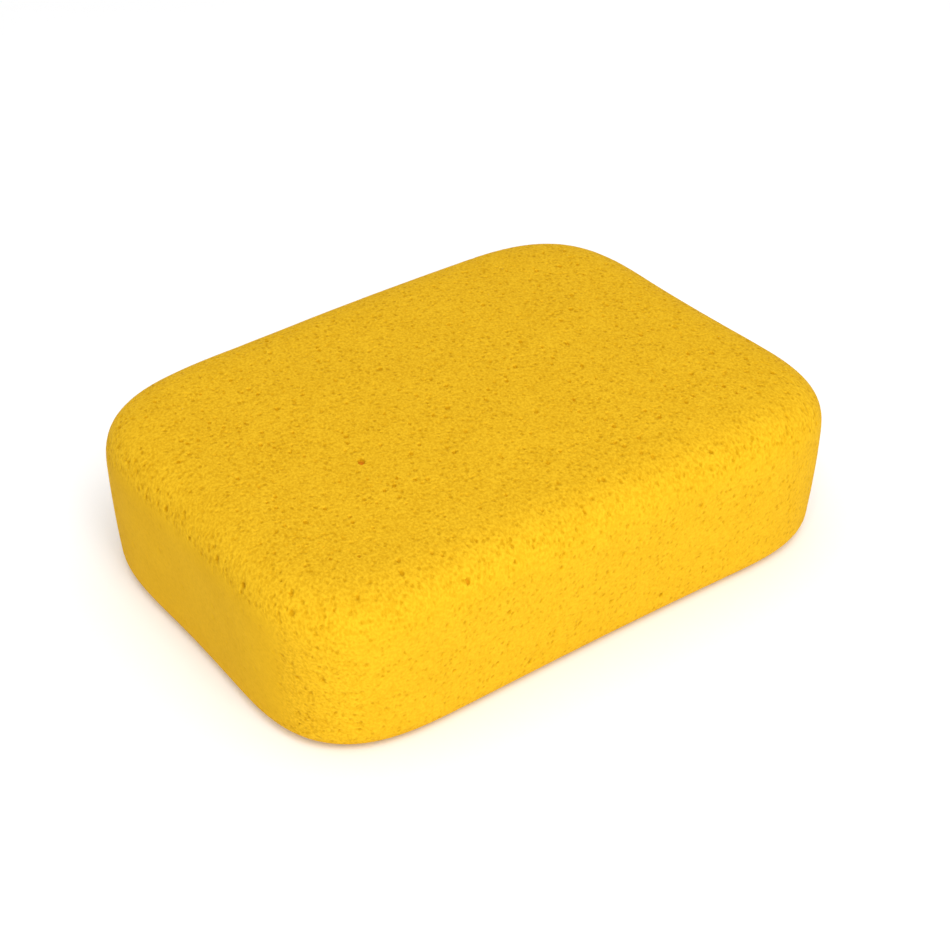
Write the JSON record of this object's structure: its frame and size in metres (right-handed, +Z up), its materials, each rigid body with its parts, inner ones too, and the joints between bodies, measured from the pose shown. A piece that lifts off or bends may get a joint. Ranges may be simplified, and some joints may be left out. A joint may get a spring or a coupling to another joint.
{
  "type": "grout sponge",
  "caption": "Thick rounded block of yellow open-cell foam for wiping grout off tiles, with large plan corners and a flat underside.",
  "frame": {"origin": "on the resting face, below the middle of the block's box", "axes": "+X along the length, +Y along the width, +Z up out of the crowned top; the softer plan corner is at -X +Y"},
  "size_m": [0.1906, 0.1396, 0.0508],
  "materials": {
    "foam": "matt open-cell foam"
  },
  "bodies": {
    "root": {"sponge_block": "foam"}
  },
  "joints": []
}
